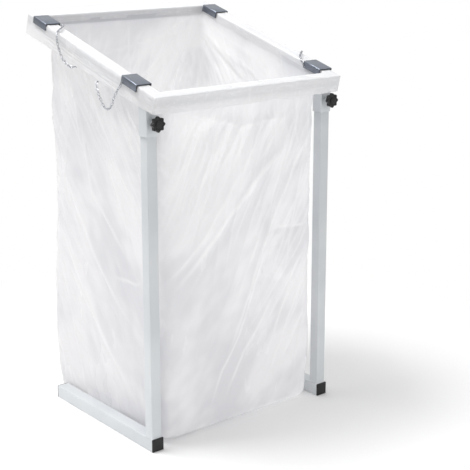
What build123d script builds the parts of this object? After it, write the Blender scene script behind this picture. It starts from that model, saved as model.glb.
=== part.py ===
"""Free-standing bin bag holder: two feet, two posts, a tilted top frame, four clips and a film bag.

X runs along the front, Y from front to back and Z up, in millimetres. The origin is the point of
the floor under the middle of the whole holder.
"""

import os
from math import atan, ceil, cos, pi, radians, sin, tan

from build123d import *

os.makedirs("parts", exist_ok=True)

# Square tubes
tube_corner = 2.5  # outer corner radius of every tube

# Flat sides that stand for the small round forms
hole_sides = 12
screw_sides = 16
hub_sides = 24

# Feet and their end caps
stand_width = 612.0  # over the outer faces of the two feet
foot_size = 35.0
foot_wall = 2.0
foot_length = 461.0  # without its caps
cap_flange = 3.5
cap_bevel = 1.2
plug_depth = 16.0
plug_wall = 2.0
plug_core_gap = 1.0  # the plug's core stands this far inside the bore, its fins reach the bore
fin_thickness = 1.0
fin_spacing = 6.0
fin_count = 2

# Posts
post_size = 30.0
post_wall = 1.5
post_setback = 2.0  # behind the front end of the foot's tube
weld_leg = 2.0
post_stop_gap = 0.3  # under the frame's side rail at its lowest setting

# Sleeves that carry the frame on the posts
slide_clearance = 0.5  # on each side of the post
sleeve_wall = 2.0
sleeve_drop = 72.0  # the sleeve's lower end under the frame's front lower edge

# Top frame
frame_height = 895.0  # of the front lower edge above the floor
frame_tilt = 15.5
frame_depth = 607.0  # along the slope
rail_size = 30.0
rail_wall = 1.5

# Clamping screws
screw_height = 857.0
thread_radius = 4.0
thread_clearance = 0.05
stud_tip_gap = 0.3
nut_width = 13.0  # across the flats
nut_height = 6.5
grip_gap = 1.4  # between the nut and the grip's hub
hub_length = 9.5
hub_radius = 9.0
hub_bevel = 1.0
grip_radius = 20.0
grip_thickness = 10.0
grip_lobes = 8
grip_points = 7  # corners of the outline for each lobe
grip_bevel = 1.6
scallop_depth = 3.6
grip_button_radius = 9.0
grip_button_height = 1.2
grip_hold = 14.0  # length of the stud that the grip holds
grip_hold_clearance = 0.02

# Film bag
film_wall = 1.0
film_gap = 0.6  # between the film and the tubes
film_top_gap = 0.5
floor_gap = 1.5
hem_drop_front = 13.0  # the cuff's hem under the rails
hem_drop_rear = 27.0
cuff_bulge_front = 6.0
cuff_bulge_side = 4.0
hem_flare = 2.0
mouth_radius = 4.0
cuff_radius = 9.0
side_segments = 12
corner_segments = 2

# Clips
clip_length = 64.0
clip_steel = 1.5
clip_lining = 2.0
clip_clearance = 0.3
clip_flange = 19.0  # from the top plate's upper face down
clip_bend = 2.2
clip_hole_radius = 2.3
clip_hole_edge = 4.5
lining_relief = 7.0  # half the width of the cut in the lining at the chain's hole
clip_places = {  # centres of each side rail's clips from the frame's front, along the slope
    "left": (105.0, 536.0),
    "right": (75.0, 539.0),
}

# Chains and the lugs that hold them
wire = 1.6
link_inner_length = 8.6
link_inner_width = 3.4
link_corner = 1.9
link_shift = 0.6  # the chain's centre line beyond the middle of the clip's flange
longest_pitch = 8.25
lug_width = 8.0
lug_height = 20.0
lug_thickness = 2.0
lug_hole_radius = 2.3
lug_hole_drop = 14.5
lug_place = 7.0  # outward from the rail's centre line
lug_turned = 36.0  # from square across the rail


def uneven(n, shift):
    """An irregular value from 0 to 1 for fold n."""
    return abs(sin(1.9 * n + shift))


def cuff_bulge(depth, flare, share, side):
    """How far the cuff stands off a rail, at a share of the way between its held ends."""
    return sin(pi * share) * (depth + flare * uneven(share * side_segments, side))


# Values worked out from the sizes above
tilt = radians(frame_tilt)
lug_turn = radians(lug_turned)
post_x = (stand_width - foot_size) / 2
sleeve_bore = post_size + 2 * slide_clearance
sleeve_size = sleeve_bore + 2 * sleeve_wall
frame_width = stand_width - foot_size + rail_size
side_gap = max(sleeve_size - rail_size, 0) / 2 + film_gap  # from a rail's side to the film
cuff_out = side_gap + film_wall
film_top = rail_size + film_top_gap + film_wall

# Places along Y from the front face of the feet's caps, before the origin is moved to the middle
post_front = cap_flange + post_setback
sleeve_front = post_front - slide_clearance - sleeve_wall
frame_front = sleeve_front - rail_size * cos(tilt)
front_reach = (cuff_out + cuff_bulge_front) * cos(tilt) + film_top * sin(tilt) - frame_front
rear_shares = [n / side_segments for n in range(side_segments)]
rear_bulge = max(cuff_bulge(cuff_bulge_front, hem_flare, share, 1) for share in rear_shares)
rear_reach = frame_front + (frame_depth + cuff_out + rear_bulge) * cos(tilt)
rear_reach += hem_drop_rear * sin(tilt)
origin_y = (front_reach - rear_reach) / 2  # the caps' front face in the holder's own frame
sleeve_bottom = frame_height - sleeve_drop
frame_place = Location((0, origin_y + frame_front, frame_height), (frame_tilt, 0, 0))


def on_frame(x, y, z, x_dir=(1, 0, 0), z_dir=(0, 0, 1)):
    """A plane given in the frame's own axes: x across, y up the slope, z square to the frame."""
    return Plane(frame_place * Plane(origin=(x, y, z), x_dir=x_dir, z_dir=z_dir).location)


def save(builder, name):
    """Label a finished piece and write it."""
    builder.part.label = name
    export_step(builder.part, f"parts/{name}.step")


def tube_profile(size, wall):
    """Square tube: rounded outside, square bore."""
    RectangleRounded(size, size, tube_corner)
    Rectangle(size - 2 * wall, size - 2 * wall, mode=Mode.SUBTRACT)


# Feet, their end caps and the posts
foot_start = origin_y + cap_flange
foot_end = foot_start + foot_length
post_y = origin_y + post_front + post_size / 2
rail_under_post = frame_height + (post_front - frame_front) * tan(tilt)
post_top = rail_under_post - post_stop_gap
foot_bore = foot_size - 2 * foot_wall
cap_corner = tube_corner * (2 - 2 ** 0.5)  # flat corners that touch the tube's round ones

for side, x in (("left", -post_x), ("right", post_x)):
    foot_plane = Plane(origin=(x, foot_start, foot_size / 2), x_dir=(1, 0, 0), z_dir=(0, 1, 0))
    with BuildPart() as foot:
        with BuildSketch(foot_plane):
            tube_profile(foot_size, foot_wall)
        extrude(amount=foot_length)
    save(foot, f"{side}_foot")

    for end, y, outward in (("front", foot_start, -1), ("rear", foot_end, 1)):
        cap_plane = Plane(origin=(x, y, foot_size / 2), x_dir=(1, 0, 0), z_dir=(0, outward, 0))
        with BuildPart() as cap:
            with BuildSketch(cap_plane) as flange:
                Rectangle(foot_size, foot_size)
                chamfer(flange.vertices(), cap_corner)
            extrude(amount=cap_flange)
            far_face = cap.faces().sort_by(Axis(cap_plane.origin, cap_plane.z_dir))[-1]
            chamfer(far_face.edges(), cap_bevel)
            core = foot_bore - 2 * plug_core_gap
            with BuildSketch(cap_plane):
                Rectangle(core, core)
                Rectangle(core - 2 * plug_wall, core - 2 * plug_wall, mode=Mode.SUBTRACT)
            extrude(amount=-plug_depth)
            for n in range(fin_count):
                with BuildSketch(cap_plane.offset(-fin_spacing * (n + 0.5))):
                    Rectangle(foot_bore, foot_bore)
                    Rectangle(core - 2 * plug_wall, core - 2 * plug_wall, mode=Mode.SUBTRACT)
                extrude(amount=-fin_thickness)
        save(cap, f"{side}_{end}_cap")

    with BuildPart() as post:
        with BuildSketch(Plane(origin=(x, post_y, foot_size))):
            RectangleRounded(post_size, post_size, tube_corner)
        extrude(amount=post_top - foot_size)
        with BuildSketch(Plane(origin=(x, post_y, foot_size))):
            RectangleRounded(post_size + 2 * weld_leg, post_size + 2 * weld_leg, tube_corner + weld_leg)
        extrude(amount=weld_leg, taper=45)
        with BuildSketch(Plane(origin=(x, post_y, foot_size))):
            Rectangle(post_size - 2 * post_wall, post_size - 2 * post_wall)
        extrude(amount=post_top - foot_size, mode=Mode.SUBTRACT)
    save(post, f"{side}_post")

# Outline of the grips: lobes round a circle
grip_outline = []
for n in range(grip_lobes * grip_points):
    angle = 2 * pi * n / (grip_lobes * grip_points)
    radius = grip_radius - scallop_depth * sin(grip_lobes * angle / 2) ** 2
    grip_outline.append((radius * cos(angle), radius * sin(angle)))

# Sleeves, cut to the frame's slope, with the nut and the clamping screw on the front face
sleeve_y = post_y - post_size / 2 - slide_clearance - sleeve_wall
for side, x in (("left", -post_x), ("right", post_x)):
    screw_plane = Plane(origin=(x, sleeve_y, screw_height), x_dir=(1, 0, 0), z_dir=(0, -1, 0))
    with BuildPart() as sleeve:
        with BuildSketch(Plane(origin=(x, post_y, sleeve_bottom))):
            tube_profile(sleeve_size, sleeve_wall)
        extrude(amount=sleeve_drop + sleeve_size)
        split(bisect_by=on_frame(0, 0, 0), keep=Keep.BOTTOM)
        with BuildSketch(screw_plane):
            RegularPolygon(thread_radius, screw_sides, major_radius=False)
        extrude(amount=-sleeve_wall, mode=Mode.SUBTRACT)
    save(sleeve, f"{side}_sleeve")

    with BuildPart() as nut:
        with BuildSketch(screw_plane):
            RegularPolygon(nut_width / 2, 6, major_radius=False)
            RegularPolygon(
                thread_radius, screw_sides, major_radius=False, mode=Mode.SUBTRACT
            )
        extrude(amount=nut_height)
    save(nut, f"{side}_weld_nut")

    hub_plane = screw_plane.offset(nut_height + grip_gap)
    head_plane = hub_plane.offset(hub_length)
    stud_end = -sleeve_wall - slide_clearance + stud_tip_gap
    with BuildPart() as grip:
        with BuildSketch(head_plane):
            Polygon(*grip_outline)
        extrude(amount=grip_thickness)
        chamfer(grip.faces().filter_by(Axis.Y).edges(), grip_bevel)
        with BuildSketch(hub_plane):
            RegularPolygon(hub_radius, hub_sides)
        extrude(amount=hub_length)
        hub_foot = grip.faces().sort_by(Axis.Y)[-1]
        chamfer(hub_foot.edges(), hub_bevel)
        with BuildSketch(head_plane.offset(grip_thickness)):
            RegularPolygon(grip_button_radius, hub_sides)
        extrude(amount=grip_button_height)
        with BuildSketch(hub_plane):
            RegularPolygon(thread_radius - thread_clearance + grip_hold_clearance, screw_sides)
        extrude(amount=grip_hold, mode=Mode.SUBTRACT)
    save(grip, f"{side}_knob_grip")

    with BuildPart() as stud:
        with BuildSketch(screw_plane.offset(stud_end)):
            RegularPolygon(thread_radius - thread_clearance, screw_sides)
        extrude(amount=nut_height + grip_gap + grip_hold - grip_hold_clearance - stud_end)
    save(stud, f"{side}_knob_stud")

# Top frame: four rails with mitred ends
half_width = frame_width / 2
rail_middle = rail_size / 2
front_mitre = (-half_width, 0)
rear_mitre = (-half_width, frame_depth)
rails = {
    "front_rail": ((-half_width, rail_middle, rail_middle), (1, 0, 0), frame_width),
    "rear_rail": ((half_width, frame_depth - rail_middle, rail_middle), (-1, 0, 0), frame_width),
    "left_rail": ((-half_width + rail_middle, frame_depth, rail_middle), (0, -1, 0), frame_depth),
    "right_rail": ((half_width - rail_middle, 0, rail_middle), (0, 1, 0), frame_depth),
}
for name, (start, along, length) in rails.items():
    inward = (-along[1], along[0], 0)
    start_plane = on_frame(*start, x_dir=inward, z_dir=along)
    outer_edge = [start[i] - inward[i] * rail_middle for i in range(3)]
    far_edge = [outer_edge[i] + along[i] * length for i in range(3)]
    with BuildPart() as rail:
        with BuildSketch(start_plane):
            tube_profile(rail_size, rail_wall)
        extrude(amount=length)
        near_cut = [along[i] - inward[i] for i in range(3)]
        far_cut = [-along[i] - inward[i] for i in range(3)]
        split(bisect_by=on_frame(*outer_edge, x_dir=(0, 0, 1), z_dir=near_cut), keep=Keep.TOP)
        split(bisect_by=on_frame(*far_edge, x_dir=(0, 0, 1), z_dir=far_cut), keep=Keep.TOP)
    save(rail, name)


# Film bag: closed rings from the floor up inside the frame, over the rails and down to the hem,
# then back along the film's other face. Flat facets join each ring to the next.
def ring(half_x, front, rear, radius, push):
    """Points of a rounded rectangle, each pushed outward by push(side, share of the side)."""
    points = []
    middle = (front + rear) / 2
    half_y = (rear - front) / 2
    turns = ((1, -1, -90), (1, 1, 0), (-1, 1, 90), (-1, -1, 180))
    for side, (sx, sy, angle) in enumerate(turns):
        for n in range(corner_segments + 1):
            a = radians(angle + 90 * n / corner_segments)
            x = sx * (half_x - radius) + radius * cos(a)
            y = sy * (half_y - radius) + radius * sin(a)
            points.append((x, middle + y))
        a = radians(angle + 90)
        run = 2 * (half_y - radius if side in (0, 2) else half_x - radius)
        for n in range(1, side_segments):
            share = n / side_segments
            out = push(side, share)
            x = sx * (half_x - radius) + (radius + out) * cos(a) - run * share * sin(a)
            y = sy * (half_y - radius) + (radius + out) * sin(a) + run * share * cos(a)
            points.append((x, middle + y))
    return points


# Share of the mouth's height, inset of the sides, of the front and of the rear from the frame's
# opening, corner radius, depth of the folds and their drift round the bag
bag_levels = (
    (0.018, 3.0, 15.0, -13.0, 55.0, 0.0, 0.0),
    (0.065, 1.5, 12.0, -22.0, 50.0, 3.0, 0.2),
    (0.17, 3.0, 6.0, -26.0, 50.0, 6.0, 0.5),
    (0.34, 6.0, 1.0, -23.0, 58.0, 8.0, 0.8),
    (0.51, 9.0, -3.0, -18.0, 66.0, 9.0, 1.1),
    (0.67, 10.0, -1.0, -13.0, 70.0, 9.0, 1.4),
    (0.82, 6.0, 2.0, -7.0, 60.0, 8.0, 1.6),
    (0.94, 2.0, 4.0, -2.0, 44.0, 6.0, 1.7),
    (0.985, 0.0, 3.0, 1.0, 34.0, 3.0, 1.7),
)
bottom_inset = 24.0
bottom_radius = 60.0
mouth_half = half_width - rail_size - side_gap
opening_front = rail_size * cos(tilt)
opening_rear = (frame_depth - rail_size) * cos(tilt)
clip_margin = clip_length / 2 + 18
cuff_loose_from = max(front for front, rear in clip_places.values()) + clip_margin
cuff_loose_to = min(rear for front, rear in clip_places.values()) - clip_margin


def level_plane(share):
    """The plane through the bag at a share of the mouth's height, and its slope."""
    slope = atan(share * tan(tilt))
    place = (0, origin_y + frame_front, share * frame_height)
    return Plane(origin=place, x_dir=(1, 0, 0), z_dir=(0, -sin(slope), cos(slope))), slope


def body_ring(share, insets, radius, fold, drift, inset):
    """A ring of the bag's body, moved in by inset."""
    plane, slope = level_plane(share)

    def folds(side, along):
        n = side * side_segments + along * side_segments
        return -fold * uneven(n, drift)

    front = (opening_front + insets[1]) / cos(slope) + inset
    rear = (opening_rear - insets[2]) / cos(slope) - inset
    return plane, ring(mouth_half - insets[0] - inset, front, rear, radius - inset, folds)


def mouth_ring(height, inset):
    """A ring inside the frame's opening, where the film lies against the rails."""
    front = rail_size + film_gap + inset
    rear = frame_depth - rail_size - film_gap - inset
    flat = ring(mouth_half - inset, front, rear, mouth_radius - inset, lambda side, along: 0)
    return on_frame(0, 0, height), flat


def cuff_ring(plane, out, flare):
    """A ring of the cuff outside the rails, which stands off them away from the clips."""

    def bulge(side, along):
        if side in (1, 3):
            return cuff_bulge(cuff_bulge_front, flare, along, side)
        place = frame_depth * (along if side == 0 else 1 - along)
        loose = (place - cuff_loose_from) / (cuff_loose_to - cuff_loose_from)
        if not 0 < loose < 1:
            return 0
        return cuff_bulge(cuff_bulge_side, flare, loose, side)

    reach = side_gap + out
    rounded = ring(half_width + reach, -reach, frame_depth + reach, cuff_radius + out, bulge)
    return plane, rounded


def bag_face(inset):
    """The rings of one face of the film, from the floor to the hem."""
    bottom = (floor_gap + inset) / frame_height
    insets = tuple(value + bottom_inset for value in bag_levels[0][1:4])
    rings = [body_ring(bottom, insets, bottom_radius, 0, 0, inset)]
    for share, *insets, radius, fold, drift in bag_levels:
        rings.append(body_ring(share, insets, radius, fold, drift, inset))
    top = rail_size + film_top_gap + inset
    rings.append(mouth_ring(rail_middle, inset))
    rings.append(mouth_ring(top, inset))
    rings.append(cuff_ring(on_frame(0, 0, top), inset, 0))
    slope = atan((hem_drop_front - hem_drop_rear) / frame_depth)
    hem_plane = on_frame(0, 0, -hem_drop_front, z_dir=(0, -sin(slope), cos(slope)))
    rings.append(cuff_ring(hem_plane, inset, hem_flare))
    return rings


bag_rings = [
    [plane.from_local_coords((x, y, 0)) for x, y in points]
    for plane, points in bag_face(0) + bag_face(film_wall)[::-1]
]
facets = [bag_rings[0], bag_rings[-1]]
for lower, upper in zip(bag_rings, bag_rings[1:]):
    for n in range(len(lower)):
        facets.append((lower[n - 1], lower[n], upper[n]))
        facets.append((lower[n - 1], upper[n], upper[n - 1]))

with BuildPart() as bag:
    add(Solid(Shell([Face(Wire.make_polygon(corners, close=True)) for corners in facets])))
save(bag, "film_bag")

# Clips: a bent steel channel with a rubber lining, and a hole for the chain in one flange
lining_half = rail_middle + side_gap + film_wall + clip_clearance
shell_half = lining_half + clip_lining
plate_top = film_top + clip_clearance + clip_lining + clip_steel
flange_end = plate_top - clip_flange


def channel(half, top, thickness, bend):
    """Section of an inverted channel that reaches down to the flanges' ends."""
    width = 2 * (half + thickness)
    height = top - flange_end
    middle = (top + flange_end) / 2
    with Locations((0, middle)):
        RectangleRounded(width, height, bend)
    with Locations((0, middle - bend)):
        Rectangle(width, height - 2 * bend)
    with Locations((0, flange_end + bend / 2)):
        Rectangle(width, bend)
    with Locations((0, middle - thickness)):
        Rectangle(2 * half, height, mode=Mode.SUBTRACT)


# The chains' routes from the hole in the clip to the hole in the lug: outward from the rail's
# centre line, along the chain's way from the clip, and up from the frame's lower face
flange_line = shell_half + clip_steel / 2 + link_shift
hole_height = flange_end + clip_hole_edge
hanging_route = (
    (flange_line, 0.0, hole_height),
    (flange_line, 1.3, hole_height - 5.0),
    (flange_line, 2.6, hole_height - 10.0),
    (25.5, 6.2, 0.0),
    (28.8, 10.5, -17.0),
    (30.0, 15.0, -34.0),
    (30.0, 18.9, -49.0),
    (30.0, 24.6, -59.8),
    (30.0, 34.0, -66.4),
    (30.0, 45.3, -67.8),
    (30.0, 56.2, -63.6),
    (30.0, 69.0, -54.0),
    (29.8, 82.0, -44.5),
    (27.6, 94.5, -36.3),
    (22.6, 104.5, -29.0),
    (14.4, 111.6, -20.9),
    (10.7, 114.3, -17.7),
    (lug_place, 117.0, -lug_hole_drop),
)
crossing_route = (
    (-flange_line, 0.0, hole_height),
    (-flange_line, 4.2, hole_height + 3.0),
    (-flange_line, 8.4, hole_height + 6.0),
    (-23.0, 14.5, 31.0),
    (-21.5, 21.0, 34.6),
    (-18.0, 28.0, 36.6),
    (-11.3, 35.7, 37.3),
    (-3.0, 43.6, 37.3),
    (6.3, 51.6, 37.5),
    (14.4, 58.4, 37.4),
    (21.4, 64.6, 36.0),
    (27.2, 71.0, 31.9),
    (31.0, 77.8, 25.2),
    (32.6, 84.8, 16.2),
    (33.0, 92.2, 5.8),
    (32.8, 100.8, -4.4),
    (32.4, 111.0, -13.4),
    (31.8, 122.5, -20.4),
    (31.0, 134.5, -25.2),
    (28.8, 146.2, -28.2),
    (24.0, 156.2, -27.5),
    (18.4, 162.6, -24.1),
    (14.4, 165.6, -20.9),
    (10.7, 168.3, -17.7),
    (lug_place, 171.0, -lug_hole_drop),
)


def link_positions(route, last_across):
    """Where each link of a chain along the route goes, each a quarter turn from the one before."""
    with BuildLine() as line:
        Spline(*route)
    curve = line.edges()[0]
    end = (link_inner_length + wire) / 2
    run = curve.length - 2 * end
    links = ceil(run / longest_pitch) + 1
    links += 1 - links % 2
    for n in range(links):
        share = n / (links - 1)
        at = end + run * share
        middle = curve.position_at(at, position_mode=PositionMode.LENGTH)
        along = curve.tangent_at(at, position_mode=PositionMode.LENGTH)
        across = Vector(1 - share, 0, 0) + last_across * share
        across = (across - along * along.dot(across)).normalized()
        yield Plane(origin=middle, x_dir=along, z_dir=across if n % 2 else along.cross(across))


with BuildPart(mode=Mode.PRIVATE) as link:
    with BuildSketch():
        x = link_inner_length / 2 + wire
        y = link_inner_width / 2 + wire
        c = link_corner
        half_outline = ((x, -y + c), (x, y - c), (x - c, y), (c - x, y))
        Polygon(*half_outline, *[(-px, -py) for px, py in half_outline])
        Rectangle(link_inner_length, link_inner_width, mode=Mode.SUBTRACT)
    extrude(amount=wire / 2, both=True)

for side, outward in (("left", -1), ("right", 1)):
    rail_x = outward * (half_width - rail_middle)
    for end, place, turn in zip(("front", "rear"), clip_places[side], (1, -1)):
        # the front clips have their hole at the left rear, the rear clips are turned half round
        hole_x = -turn * (shell_half + clip_steel / 2)
        hole_y = place + turn * (clip_length / 2 - clip_hole_edge)
        clip_end = on_frame(rail_x, place + clip_length / 2, 0, z_dir=(0, -1, 0))
        hole_plane = on_frame(rail_x + hole_x, hole_y, hole_height, x_dir=(0, 1, 0), z_dir=(1, 0, 0))
        with BuildPart() as shell:
            with BuildSketch(clip_end):
                channel(shell_half, plate_top, clip_steel, clip_bend)
            extrude(amount=clip_length)
            with BuildSketch(hole_plane):
                RegularPolygon(clip_hole_radius, hole_sides)
            extrude(amount=clip_steel, both=True, mode=Mode.SUBTRACT)
        save(shell, f"{end}_{side}_clip")

        with BuildPart() as lining:
            with BuildSketch(clip_end):
                channel(lining_half, plate_top - clip_steel, clip_lining, clip_bend - clip_steel)
            extrude(amount=clip_length)
            with BuildSketch(hole_plane):
                Rectangle(2 * lining_relief, 2 * lining_relief)
            extrude(amount=clip_steel / 2 + clip_lining, both=True, mode=Mode.SUBTRACT)
        save(lining, f"{end}_{side}_clip_lining")

        hangs = hole_x * outward > 0
        route = [
            (rail_x + outward * out, hole_y + turn * along, up)
            for out, along, up in (hanging_route if hangs else crossing_route)
        ]
        lug_x, lug_y, _ = route[-1]
        lug_run = (outward * cos(lug_turn), -turn * sin(lug_turn), 0)
        lug_across = Vector(sin(lug_turn), outward * turn * cos(lug_turn), 0)
        with BuildPart() as lug:
            with BuildSketch(on_frame(lug_x, lug_y, 0, x_dir=lug_run, z_dir=lug_across)):
                with Locations((0, turn * lug_height / 2)):
                    Rectangle(lug_width, lug_height)
                with Locations((0, turn * lug_hole_drop)):
                    RegularPolygon(lug_hole_radius, hole_sides, mode=Mode.SUBTRACT)
            extrude(amount=lug_thickness / 2, both=True)
        save(lug, f"{end}_{side}_chain_lug")

        with BuildPart() as chain:
            for position in link_positions(route, lug_across):
                add(link.part.moved(frame_place * position.location))
        save(chain, f"{end}_{side}_chain")
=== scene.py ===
"""Looks of the free-standing bin bag holder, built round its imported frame.

Lengths are in metres in the row frame: X along the front, Y from front to back, Z up. Sizes of the
film bag are in millimetres, as in the part's own source, and become metres in its meshes.
"""

import logging
import math
from dataclasses import dataclass, field
from enum import Enum

import bmesh
import bpy
import numpy as np
from mathutils import Matrix, Vector


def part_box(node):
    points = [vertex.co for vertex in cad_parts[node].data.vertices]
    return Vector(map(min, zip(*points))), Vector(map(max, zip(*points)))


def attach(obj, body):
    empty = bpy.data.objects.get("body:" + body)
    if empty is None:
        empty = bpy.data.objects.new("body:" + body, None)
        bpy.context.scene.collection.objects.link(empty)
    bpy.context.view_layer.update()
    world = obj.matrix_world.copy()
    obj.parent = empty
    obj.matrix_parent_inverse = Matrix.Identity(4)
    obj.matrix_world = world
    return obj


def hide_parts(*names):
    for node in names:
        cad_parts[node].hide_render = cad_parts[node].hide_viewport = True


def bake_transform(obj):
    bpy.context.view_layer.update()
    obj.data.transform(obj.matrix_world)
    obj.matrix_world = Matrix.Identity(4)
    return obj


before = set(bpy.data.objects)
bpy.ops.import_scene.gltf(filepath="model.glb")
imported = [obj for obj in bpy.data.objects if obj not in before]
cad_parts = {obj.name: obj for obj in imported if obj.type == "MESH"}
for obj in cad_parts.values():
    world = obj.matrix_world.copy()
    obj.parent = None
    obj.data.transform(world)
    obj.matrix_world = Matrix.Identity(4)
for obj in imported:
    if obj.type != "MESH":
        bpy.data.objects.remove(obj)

LOG = logging.getLogger("bin_bag_holder")
MM = 0.001
WELD = 2e-6  # vertices nearer than this are one
GATHERED = 1e-5  # so near to the middle lie the vertices of a row that is drawn together


class Side(Enum):
    """The two sides of the holder, seen from the knobs."""

    LEFT = "left"
    RIGHT = "right"


class End(Enum):
    """The two ends of a foot or of the top frame."""

    FRONT = "front"
    REAR = "rear"


class Face(Enum):
    """The four faces of the bag, in the order in which its columns go round."""

    RIGHT = 0
    REAR = 1
    LEFT = 2
    FRONT = 3


def srgb(red: float, green: float, blue: float) -> tuple[float, float, float, float]:
    """Turn a colour of 0 to 255 as a screen shows it into a linear one.

    Args:
        red: Red as shown.
        green: Green as shown.
        blue: Blue as shown.

    Returns:
        Linear red, green and blue, and an alpha of 1.
    """
    linear = []
    for value in (red, green, blue):
        share = value / 255
        linear.append(share / 12.92 if share <= 0.04045 else ((share + 0.055) / 1.055) ** 2.4)
    return (*linear, 1.0)


class Wire:
    """A value inside a material: one output socket, with arithmetic that adds nodes."""

    def __init__(self, graph: "Graph", socket: bpy.types.NodeSocket) -> None:
        """Keep the graph and the socket that gives the value.

        Args:
            graph: The material's graph.
            socket: The output socket.
        """
        self.graph = graph
        self.socket = socket

    def __add__(self, other: "Wire | float") -> "Wire":
        """Add a value."""
        return self.graph.maths("ADD", self, other)

    def __sub__(self, other: "Wire | float") -> "Wire":
        """Take a value away."""
        return self.graph.maths("SUBTRACT", self, other)

    def __rsub__(self, other: float) -> "Wire":
        """Take this value away from a number."""
        return self.graph.maths("SUBTRACT", other, self)

    def __mul__(self, other: "Wire | float") -> "Wire":
        """Multiply by a value."""
        return self.graph.maths("MULTIPLY", self, other)

    __radd__ = __add__
    __rmul__ = __mul__

    def between(self, low: float, high: float, to_low: float = 0, to_high: float = 1) -> "Wire":
        """Map a range of the value smoothly onto another range.

        Args:
            low: Where the range begins.
            high: Where the range ends.
            to_low: Result at the beginning.
            to_high: Result at the end.

        Returns:
            The mapped value.
        """
        inputs = {
            "Value": self, "From Min": low, "From Max": high, "To Min": to_low, "To Max": to_high,
        }
        return self.graph.wire(
            "ShaderNodeMapRange", "Result", inputs, interpolation_type="SMOOTHSTEP"
        )


class Graph:
    """The node tree of a material or of the world."""

    def __init__(self, owner: "bpy.types.Material | bpy.types.World") -> None:
        """Empty the owner's tree and keep it.

        Args:
            owner: The material or world that the nodes belong to.
        """
        owner.use_nodes = True
        self.owner = owner
        self.tree = owner.node_tree
        self.tree.nodes.clear()

    def node(self, kind: str, inputs: dict | None = None, **settings: object) -> bpy.types.Node:
        """Add a node of any kind.

        Args:
            kind: Blender's name for the kind of node.
            inputs: Values or wires by the name or number of the input socket.
            **settings: Properties of the node itself.

        Returns:
            The new node.
        """
        made = self.tree.nodes.new(kind)
        for name, value in settings.items():
            setattr(made, name, value)
        for key, value in (inputs or {}).items():
            if isinstance(value, Wire):
                self.tree.links.new(value.socket, made.inputs[key])
            else:
                made.inputs[key].default_value = value
        return made

    def wire(
        self, kind: str, output: "str | int", inputs: dict | None = None, **settings: object
    ) -> Wire:
        """Add a node and return one of its outputs.

        Args:
            kind: Blender's name for the kind of node.
            output: Name or number of the output socket.
            inputs: Values or wires by the name or number of the input socket.
            **settings: Properties of the node itself.

        Returns:
            The output as a wire.
        """
        return Wire(self, self.node(kind, inputs, **settings).outputs[output])

    def maths(self, operation: str, first: "Wire | float", second: "Wire | float") -> Wire:
        """Add a node of arithmetic.

        Args:
            operation: Blender's name of the operation.
            first: The first value.
            second: The second value.

        Returns:
            The result.
        """
        return self.wire("ShaderNodeMath", "Value", {0: first, 1: second}, operation=operation)

    def place(self, stretch: tuple[float, float, float] = (1, 1, 1)) -> Wire:
        """Give the object coordinates, stretched along the axes.

        Args:
            stretch: Factors along X, Y and Z.

        Returns:
            The coordinates.
        """
        plain = self.wire("ShaderNodeTexCoord", "Object")
        return self.wire("ShaderNodeMapping", "Vector", {"Vector": plain, "Scale": stretch})

    def grain(self, place: Wire, scale: float, detail: float = 2, rough: float = 0.5) -> Wire:
        """Add a noise pattern.

        Args:
            place: The coordinates it is drawn in.
            scale: Spots in a metre.
            detail: Octaves of finer noise.
            rough: Weight of the finer noise.

        Returns:
            Noise from 0 to 1.
        """
        inputs = {"Vector": place, "Scale": scale, "Detail": detail, "Roughness": rough}
        return self.wire("ShaderNodeTexNoise", "Fac", inputs)

    def mixed(self, share: Wire, first: "Wire | tuple", second: tuple) -> Wire:
        """Mix two colours.

        Args:
            share: How much of the second colour there is.
            first: The first colour.
            second: The second colour.

        Returns:
            The mixed colour.
        """
        inputs = {0: share, 6: first, 7: second}
        return self.wire("ShaderNodeMix", 2, inputs, data_type="RGBA")

    def bumped(self, height: Wire, strength: float, distance: float) -> Wire:
        """Turn a height into a normal.

        Args:
            height: The height pattern, from 0 to 1.
            strength: How strongly it shows.
            distance: Depth of the pattern in metres.

        Returns:
            The normal.
        """
        inputs = {"Height": height, "Strength": strength, "Distance": distance}
        return self.wire("ShaderNodeBump", "Normal", inputs)

    def surface(self, shader: Wire) -> None:
        """Put a shader on the surface, or on the world.

        Args:
            shader: The shader.
        """
        owner = "World" if isinstance(self.owner, bpy.types.World) else "Material"
        self.node(f"ShaderNodeOutput{owner}", {"Surface": shader})

    def principled(self, inputs: dict) -> Wire:
        """Add the main surface shader.

        Args:
            inputs: Values or wires by the name of the input socket.

        Returns:
            The shader.
        """
        return self.wire("ShaderNodeBsdfPrincipled", "BSDF", inputs)

    def rays(self, *kinds: str) -> list[Wire]:
        """Tell which kind of ray looks, which only the floor and the world ask.

        Args:
            *kinds: Names of the kinds of ray.

        Returns:
            For each kind, 1 where the ray is of that kind.
        """
        path = self.node("ShaderNodeLightPath")
        return [Wire(self, path.outputs[f"Is {kind} Ray"]) for kind in kinds]


@dataclass(frozen=True)
class Finish:
    """A finish of one material slot of the record."""

    slot: str
    name: str = ""

    def paint(self, graph: Graph) -> Wire:
        """Build the shader; each finish has its own."""
        raise NotImplementedError

    def material(self) -> bpy.types.Material:
        """Return the finish's material, made at the first call."""
        name = self.name or f"finish_{self.slot}"
        found = bpy.data.materials.get(name)
        if found is None:
            found = bpy.data.materials.new(name)
            graph = Graph(found)
            graph.surface(self.paint(graph))
        return found


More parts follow.
